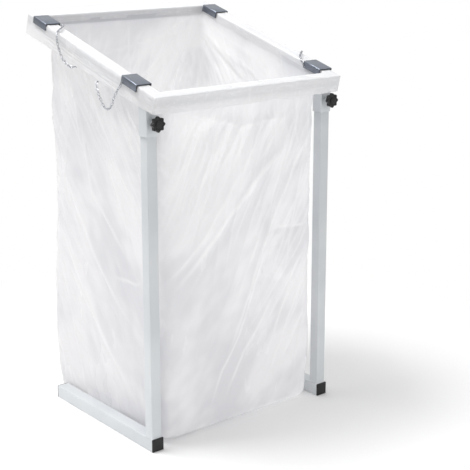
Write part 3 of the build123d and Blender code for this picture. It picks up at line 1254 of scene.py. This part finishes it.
@dataclass
class FilmBag:
    """The film bag: a sagging body inside the frame and a cuff folded out over the rails."""

    shape: FilmShape = field(default_factory=FilmShape)
    film: Finish = field(default_factory=BagFilm)
    cuff_film: Finish = field(
        default_factory=lambda: BagFilm(
            name="film_on_rails", shaded=srgb(246, 246, 248), alpha=0.84
        )
    )
    run_steps: int = 126
    corner_steps: int = 14
    body_steps: int = 150
    bottom_rows: int = 8
    bottom_share: float = 0.0022
    bottom_round: float = 24.0
    collar_rows: int = 6
    swell: float = 7.0
    swell_size: tuple = (170, 170, 260)
    drape: float = 3.2
    drape_size: tuple = (62, 62, 520)
    cockle: float = 1.4
    cockle_size: tuple = (24, 24, 300)
    body_seeds: tuple = (11, 23)
    lean: float = 0.5  # sideways, for each millimetre down
    most_out: float = 9.0
    post_reach: float = -205.0  # posts and sleeves stand in front of this y
    foot_reach: float = 60.0  # feet lie below this z
    floor_reach: float = 12.0  # below this z nothing is pushed out
    cuff_bend: float = 4.0
    cuff_seeds: tuple = (5, 71)
    hem_wave: float = 2.5
    hem_wave_size: tuple = (55, 55, 55)
    hem_flutter: float = 1.2
    hem_flutter_size: tuple = (17, 17, 17)
    pleat_size: tuple = (9, 9, 9)
    pleat_sharpness: float = 2.2
    upright_size: tuple = (26, 26, 90)
    upright_sharpness: float = 2.3
    # The next four are for the sides, and for the front and rear
    cuff_bulge: tuple = (2.2, 4.0)
    pleat_height: tuple = (1.7, 0.8)
    upright_height: tuple = (0.5, 1.8)
    cuff_most_out: tuple = (6.0, 7.5)
    creases: tuple = (
        Crease(Face.FRONT, ((248, 829), (158, 673), (87, 532), (-17, 287), (-86, 136)), 4.0, 16),
        Crease(Face.FRONT, ((0, 710), (-134, 543), (-262, 423)), 3.0, 14),
        Crease(Face.FRONT, ((211, 805), (76, 699), (-51, 583), (-247, 393)), 5.5, 26, 0.9),
        Crease(Face.FRONT, ((105, 528), (35, 388), (-17, 259), (-76, 161), (-120, 33)), 3.5, 14),
        Crease(Face.FRONT, ((124, 355), (0, 199), (-62, 73)), 3.0, 14),
        Crease(Face.FRONT, ((208, 468), (143, 308), (78, 151)), 3.5, 16),
        Crease(Face.FRONT, ((252, 532), (200, 520), (76, 531)), -3.0, 14),
        Crease(Face.FRONT, ((-241, 880), (0, 816), (211, 827)), 3.0, 12),
        Crease(Face.LEFT, ((116, 863), (94, 784), (50, 626), (-113, 456)), 4.5, 16),
        Crease(Face.LEFT, ((217, 709), (152, 607), (32, 435), (-154, 262)), 4.5, 18),
        Crease(Face.LEFT, ((278, 553), (135, 381), (-11, 220), (-172, 47)), 4.5, 18),
        Crease(Face.LEFT, ((266, 462), (231, 402), (190, 345)), -4.0, 14, 0.0),
        Crease(Face.LEFT, ((237, 960), (238, 819), (282, 698)), 4.0, 12),
        Crease(Face.LEFT, ((144, 942), (117, 836), (101, 728)), 3.5, 12),
        Crease(Face.LEFT, ((240, 444), (87, 307), (-81, 157)), 4.0, 16),
        Crease(Face.LEFT, ((-41, 411), (-135, 410), (-167, 421)), -2.5, 10),
        Crease(Face.LEFT, ((252, 173), (221, 122), (202, 52)), 4.0, 14),
        Crease(Face.RIGHT, ((270, 1020), (190, 900), (60, 700), (-60, 430)), 4.5, 16),
        Crease(Face.RIGHT, ((268, 1010), (120, 900), (-40, 800), (-200, 560)), 4.0, 16),
        Crease(Face.RIGHT, ((275, 1000), (230, 820), (180, 600), (90, 300)), 4.5, 18),
        Crease(Face.RIGHT, ((-240, 700), (-60, 500), (100, 260), (180, 60)), 4.0, 18),
        Crease(Face.RIGHT, ((-220, 420), (-80, 260), (20, 60)), 3.5, 16),
        Crease(Face.REAR, ((262, 1030), (190, 880), (120, 640), (60, 400)), 5.0, 18),
        Crease(Face.REAR, ((258, 1040), (120, 930), (-40, 800), (-180, 560)), 4.5, 16),
        Crease(Face.REAR, ((266, 1000), (245, 800), (210, 560)), 4.0, 14),
        Crease(Face.REAR, ((-262, 1010), (-190, 860), (-60, 640), (90, 330)), 4.5, 18),
        Crease(Face.REAR, ((-250, 640), (-120, 420), (20, 180), (80, 40)), 4.0, 18),
        Crease(Face.REAR, ((240, 360), (120, 210), (40, 60)), 3.5, 16),
    )
    fans: tuple = (
        Fan(Face.FRONT, ((-150, 885), (262, 885)), -27, 9, 46, (220, 640), (0.7, 2.4), 1),
        Fan(Face.FRONT, ((262, 870), (262, 330)), -30, 11, 26, (160, 480), (0.7, 2.2), 2),
        Fan(Face.FRONT, ((-262, 895), (262, 895)), 0, 8, 44, (60, 190), (0.6, 1.8), 3, (3, 6)),
        Fan(Face.LEFT, ((-150, 925), (290, 1050)), -31, 10, 48, (220, 640), (0.7, 2.4), 4),
        Fan(Face.LEFT, ((288, 1000), (288, 400)), -33, 11, 26, (160, 480), (0.7, 2.4), 5),
        Fan(Face.LEFT, ((-255, 905), (285, 1055)), -6, 9, 46, (60, 200), (0.6, 1.8), 6, (3, 6)),
        Fan(Face.RIGHT, ((250, 1046), (284, 1010)), -38, 34, 34, (220, 620), (0.9, 2.6), 7),
        Fan(Face.RIGHT, ((-250, 905), (270, 1050)), -24, 14, 44, (160, 560), (0.7, 2.0), 8),
        Fan(Face.REAR, ((240, 1052), (268, 1020)), -32, 32, 36, (220, 640), (0.9, 2.6), 9),
        Fan(Face.REAR, ((-262, 1050), (262, 1050)), -16, 16, 46, (160, 560), (0.7, 2.0), 10),
    )

    def body_points(self, columns: dict) -> tuple[np.ndarray, ...]:
        """Work out the smooth body from the middle of its bottom up to the mouth.

        Args:
            columns: The columns that go round.

        Returns:
            The points, the outward normal of each column, the share of each row and the sides'
            inset of each row.
        """
        shape = self.shape
        bottom, collar = self.bottom_rows, self.collar_rows
        share = np.concatenate([
            np.full(bottom, self.bottom_share), np.linspace(0.003, 0.03, 12)[:-1],
            np.linspace(0.03, 1.0, self.body_steps), np.ones(collar),
        ])
        lift = np.concatenate([np.zeros(len(share) - collar), np.linspace(3, 16, collar)])
        rise = np.clip((share - self.bottom_share) / 0.022, 0, 1)
        shrink = self.bottom_round * (1 - np.sqrt(1 - (1 - rise) ** 2))
        sides, front, rear, radius = shape.body_rows(np.clip(share, shape.levels[0][0], 1))
        radius = np.where(lift > 0, np.interp(lift, (0, 10), (12, shape.mouth_radius)), radius)
        slope = np.arctan(share * math.tan(shape.tilt))
        open_front = shape.rail * math.cos(shape.tilt)
        open_rear = (shape.depth - shape.rail) * math.cos(shape.tilt)
        half_x = shape.mouth_half - sides - shrink
        front_y = (open_front + front + shrink) / np.cos(slope) + shape.half_film
        rear_y = (open_rear - rear - shrink) / np.cos(slope) - shape.half_film
        x, y, normal = shape.ring(columns, half_x, front_y, rear_y, radius)
        points = shape.to_world(x, y, share, np.broadcast_to(lift[:, None], x.shape))
        middle = points[:bottom].mean(1, keepdims=True)
        inward = np.linspace(0, 1, bottom + 1)[:-1, None, None]
        points[:bottom] = middle + (points[:bottom] - middle) * inward
        return points, normal, share, sides

    def sculpt_body(self, columns: dict) -> tuple[np.ndarray, np.ndarray]:
        """Add folds, creases and bulges to the body.

        Args:
            columns: The columns that go round.

        Returns:
            The points in millimetres and how much whitening and painted highlight each gets along
            the creases.
        """
        points, normal, share, sides = self.body_points(columns)
        out = np.zeros(points.shape)
        out[..., :2] = normal[None]
        push = np.zeros(points.shape[:2])
        bright = np.zeros(points.shape[:2])
        facing = {
            Face.FRONT: -normal[:, 1], Face.REAR: normal[:, 1],
            Face.LEFT: -normal[:, 0], Face.RIGHT: normal[:, 0],
        }
        fine = [crease for fan in self.fans for crease in fan.creases()]
        for crease in (*self.creases, *fine):
            near, fade = crease.reach(points)
            weight = fade * ease(facing[crease.face], 0.25, 0.75)[None]
            push += crease.height * weight * np.exp(-near / crease.width)
            # a narrow band of whitening and painted highlight along each crease
            band = max(3.5, crease.width / 3.5)
            bright = np.maximum(bright, crease.bright * weight * np.exp(-(near / band) ** 2))
        soft, long = (Ripples(seed) for seed in self.body_seeds)
        push += self.swell * soft(points, self.swell_size)
        lean = points.copy()
        lean[..., :2] -= self.lean * lean[..., 2:]
        hanging = self.drape * long(lean, self.drape_size)
        push += hanging + self.cockle * soft(lean, self.cockle_size)
        up = ease(points[..., 2], 2, 40)
        at_mouth = 1 - ease(share, 0.9, 0.985)[:, None]
        push = push * up * (0.08 + 0.92 * at_mouth)
        beside = np.abs(normal[:, 0])[None] > 0.5
        kept = beside & ((points[..., 1] < self.post_reach) | (points[..., 2] < self.foot_reach))
        limit = np.where(kept, sides[:, None] + 0.2, self.most_out)
        limit = np.where(share[:, None] > 0.955, np.minimum(limit, 0.3), limit)
        push = np.minimum(push, limit)
        push = np.where(points[..., 2] < self.floor_reach, np.minimum(push, 0), push)
        return points + out * push[..., None], bright

    def cuff_profile(self) -> tuple[np.ndarray, np.ndarray, np.ndarray]:
        """Describe the cuff's section over a rail.

        Returns:
            For each row: how far outward it is from 0 at the mouth to 1 outside the rail, its
            height over the frame's lower plane (below 0, a share of the hem's drop), and the
            angle of its normal, from 0 inward through a quarter turn up to a half turn outward.
        """
        width = self.shape.rail + 2 * self.shape.side_gap + 1
        top = self.shape.rail + self.shape.top_gap + self.shape.half_film
        bend = self.cuff_bend
        corner = np.linspace(0, math.pi / 2, 7)
        rows = [(0.0, value, 0.0) for value in np.linspace(9, top - bend, 9)]
        for turn in corner[1:]:
            lift = bend * math.sin(turn)
            rows.append((bend * (1 - math.cos(turn)) / width, top - bend + lift, turn))
        for value in np.linspace(bend / width, 1 - bend / width, 15)[1:-1]:
            rows.append((value, top, math.pi / 2))
        for turn in corner:
            lift = bend * math.cos(turn)
            rows.append((
                1 - bend * (1 - math.sin(turn)) / width, top - bend + lift, math.pi / 2 + turn,
            ))
        rows += [(1.0, value * (top - bend), math.pi) for value in np.linspace(1, 0, 12)[1:]]
        rows += [(1.0, value, math.pi) for value in np.linspace(0, -1, 12)[1:]]
        out, height, angle = np.array(rows).T
        return out, height, angle

    def smooth_cuff(self, columns: dict) -> tuple[np.ndarray, ...]:
        """Lay the cuff over the rails, with a wavy hem and no pleats.

        Args:
            columns: The columns that go round.

        Returns:
            X, Y and the height square to the frame of every point, and the outward normal of
            each column.
        """
        shape = self.shape
        out, height, _ = self.cuff_profile()
        inner_front = shape.rail + shape.film_gap + shape.half_film
        reach = shape.side_gap + shape.half_film
        half_x = shape.mouth_half + out * (shape.half_width + reach - shape.mouth_half)
        front = inner_front + out * (-reach - inner_front)
        rear = shape.depth - front
        radius = shape.mouth_radius + out * (shape.cuff_radius - shape.mouth_radius)
        x, y, normal = shape.ring(columns, half_x, front, rear, radius)
        drop = shape.hem_front + (shape.hem_rear - shape.hem_front) * np.clip(y / shape.depth, 0, 1)
        flat = np.stack([x, y, np.zeros(x.shape)], -1)
        soft, long = (Ripples(seed) for seed in self.cuff_seeds)
        wave = self.hem_wave * soft(flat, self.hem_wave_size)
        wave = wave + self.hem_flutter * long(flat, self.hem_flutter_size)
        lift = np.where(height[:, None] < 0, height[:, None] * (drop + wave), height[:, None])
        return x, y, lift, normal

    def looseness(self, columns: dict, y: np.ndarray) -> np.ndarray:
        """Tell where no clip presses the cuff on its rail.

        Args:
            columns: The columns that go round.
            y: Y of each column.

        Returns:
            For each column, from 0 under a clip to 1 well beside it.
        """
        loose = np.ones(y.shape)
        for face, places in self.shape.clips.items():
            on_face = columns["face"] == face.value
            for place in places:
                away = np.abs(y - place) - self.shape.clip_half
                loose = np.where(on_face, loose * ease(away, 3, 22), loose)
        return loose

    def sculpt_cuff(self, columns: dict) -> tuple[np.ndarray, np.ndarray]:
        """Build the cuff over the rails with its pleats.

        Args:
            columns: The columns that go round.

        Returns:
            The points in millimetres and how much whitening and painted highlight each gets.
        """
        out, height, angle = self.cuff_profile()
        x, y, lift, normal = self.smooth_cuff(columns)
        loose = self.looseness(columns, y[0])
        soft, long = (Ripples(seed) for seed in self.cuff_seeds)
        outside = ease(out, 0.75, 1.0)[:, None]
        on_top = (ease(out, 0.02, 0.15) * (1 - ease(out, 0.85, 1.0)))[:, None]
        arch = np.sin(math.pi * columns["share"]) * (columns["share"] > 0)
        side_face = np.isin(columns["face"], (Face.RIGHT.value, Face.LEFT.value))
        bulge = np.where(side_face, *self.cuff_bulge)[None] * arch[None] * outside
        strip = np.stack([x, y, lift], -1)
        stretch = np.where(side_face[:, None], (1.0, 0.06, 1.0), (0.12, 1.0, 1.0))
        along_rail = strip * stretch[None]
        pleat = 1 - np.abs(long(along_rail, self.pleat_size)) * self.pleat_sharpness
        upright = 1 - np.abs(soft(strip, self.upright_size)) * self.upright_sharpness
        pleat_height = np.where(side_face, *self.pleat_height)[None]
        upright_height = np.where(side_face, *self.upright_height)[None]
        ridges = np.clip(pleat, 0, 1) ** 2 * pleat_height
        ridges = ridges + np.clip(upright, 0, 1) ** 3 * upright_height
        shown = (0.25 + 0.75 * outside) * np.maximum(outside, on_top)
        push = (bulge + ridges * shown) * loose[None]
        push = np.minimum(push, np.where(side_face, *self.cuff_most_out)[None])
        # whitening and painted highlight on the crests of the pleats and upright folds, none under
        # the clips
        bright = 0.75 * ease(pleat, 0.85, 1.0) * loose[None] + 0.35 * ease(upright, 0.9, 1.0)
        sin, cos = math.sin(self.shape.tilt), math.cos(self.shape.tilt)
        points = self.shape.to_world(x, y, np.ones(len(out)), lift)
        outward = np.stack([
            np.broadcast_to(normal[None, :, 0], x.shape),
            np.broadcast_to(normal[None, :, 1] * cos, x.shape),
            np.broadcast_to(normal[None, :, 1] * sin, x.shape),
        ], -1)
        upward = np.array([0, -sin, cos])
        turn = angle[:, None, None]
        away = -np.cos(turn) * outward + np.sin(turn) * upward
        # painted highlight along the rounded inner top edge of the rails, where the film turns over
        rim = 0.8 * ease(height, 24, 30)[:, None] * (out < 0.2)[:, None]
        return points + away * push[..., None], np.clip(np.maximum(bright, rim), 0, 1)

    def build(self) -> list[bpy.types.Object]:
        """Make the body and the cuff, which both stand for the CAD bag.

        Returns:
            The two pieces.
        """
        made = []
        columns = self.shape.columns(self.run_steps, self.corner_steps)
        for name, sculpt, film in (
            ("film_body", self.sculpt_body, self.film),
            ("film_cuff", self.sculpt_cuff, self.cuff_film),
        ):
            points, crease = sculpt(columns)
            mesh = grid_mesh(points, crease, film is self.film)
            piece = as_piece(name, mesh, film, math.pi)
            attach(piece, "frame")
            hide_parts("film_bag")
            made.append(piece)
        return made


@dataclass(frozen=True)
class Lamp:
    """A square lamp, with the point that it shines at, its edge and its watts."""

    name: str
    place: tuple
    aim: tuple
    size: float
    power: float

    def hang(self) -> None:
        """Hang the lamp."""
        data = bpy.data.lights.new(self.name, "AREA")
        data.size = self.size
        data.energy = self.power
        lamp = in_scene(data)
        lamp.location = self.place
        direction = Vector(self.aim) - Vector(self.place)
        lamp.rotation_euler = direction.to_track_quat("-Z", "Y").to_euler()


@dataclass
class Studio:
    """Camera, floor, lamps and surroundings."""

    camera_place: tuple = (-1.9169, -2.5629, 1.3604)
    yaw: float = 0.687
    pitch: float = 0.232
    lens: float = 90.56
    shift: float = -0.1
    floor_half: float = 9.0
    camera_side: tuple = (-0.62, -0.78, 0)
    surround: float = 0.66
    lamps: tuple = (
        Lamp("key", (-1.1, 0.8, 4.2), (0, 0, 0.5), 1.7, 122.0),
        Lamp("fill", (0.4, -3.8, 1.9), (0, 0, 0.6), 2.6, 16.0),
    )

    def camera(self) -> None:
        """Stand the camera where the photograph was taken from."""
        data = bpy.data.cameras.new("photo_camera")
        data.lens = self.lens
        data.sensor_width = 36
        data.shift_y = self.shift
        camera = in_scene(data)
        camera.location = self.camera_place
        camera.rotation_euler = (math.pi / 2 - self.pitch, 0, -self.yaw)
        bpy.context.scene.camera = camera

    def floor(self) -> None:
        """Lay the floor."""
        mesh = bmesh.new()
        bmesh.ops.create_grid(mesh, x_segments=1, y_segments=1, size=self.floor_half)
        data = mesh_data("studio_floor", mesh)
        data.materials.append(StudioFloor().material())
        floor = in_scene(data)

    def world(self) -> None:
        """Surround the scene with soft light that the camera sees as white."""
        surroundings = bpy.data.worlds.new("studio_world")
        bpy.context.scene.world = surroundings
        graph = Graph(surroundings)
        camera, glossy, through = graph.rays("Camera", "Glossy", "Transmission")
        place = graph.wire("ShaderNodeTexCoord", "Generated")
        height = Wire(graph, graph.node("ShaderNodeSeparateXYZ", {0: place}).outputs["Z"])
        inputs = {0: place, 1: self.camera_side}
        toward = graph.wire("ShaderNodeVectorMath", "Value", inputs, operation="DOT_PRODUCT")
        soft = height.between(-0.2, 0.9, 0.8, 1.15) * self.surround
        gloss = height.between(-0.1, 0.55, 0.4, 1.0) * toward.between(0.6, 0.9, 1, 0.25)
        level = glossy * gloss + (1 - glossy) * soft
        light = graph.maths("MAXIMUM", graph.maths("MAXIMUM", camera, through), level)
        inputs = {"Color": (1, 1, 1, 1), "Strength": light}
        graph.surface(graph.wire("ShaderNodeBackground", "Background", inputs))

    def build(self) -> None:
        """Set the whole studio up."""
        scene = bpy.context.scene
        scene.view_settings.view_transform = "Standard"
        self.camera()
        self.floor()
        self.world()
        for lamp in self.lamps:
            lamp.hang()


def main() -> None:
    """Build the studio and the holder, and write how large the model is."""
    logging.basicConfig(level=logging.INFO, format="%(name)s: %(message)s")
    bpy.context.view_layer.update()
    Studio().build()
    assemblies = [Stand(), *(Knob(side) for side in Side)]
    assemblies += [ChainedClip(side, end) for side in Side for end in End]
    assemblies.append(FilmBag())
    for assembly in assemblies:
        for piece in assembly.build():
            LOG.info("%s: %d faces", piece.name, len(piece.data.polygons))


if __name__ == "__main__":
    main()
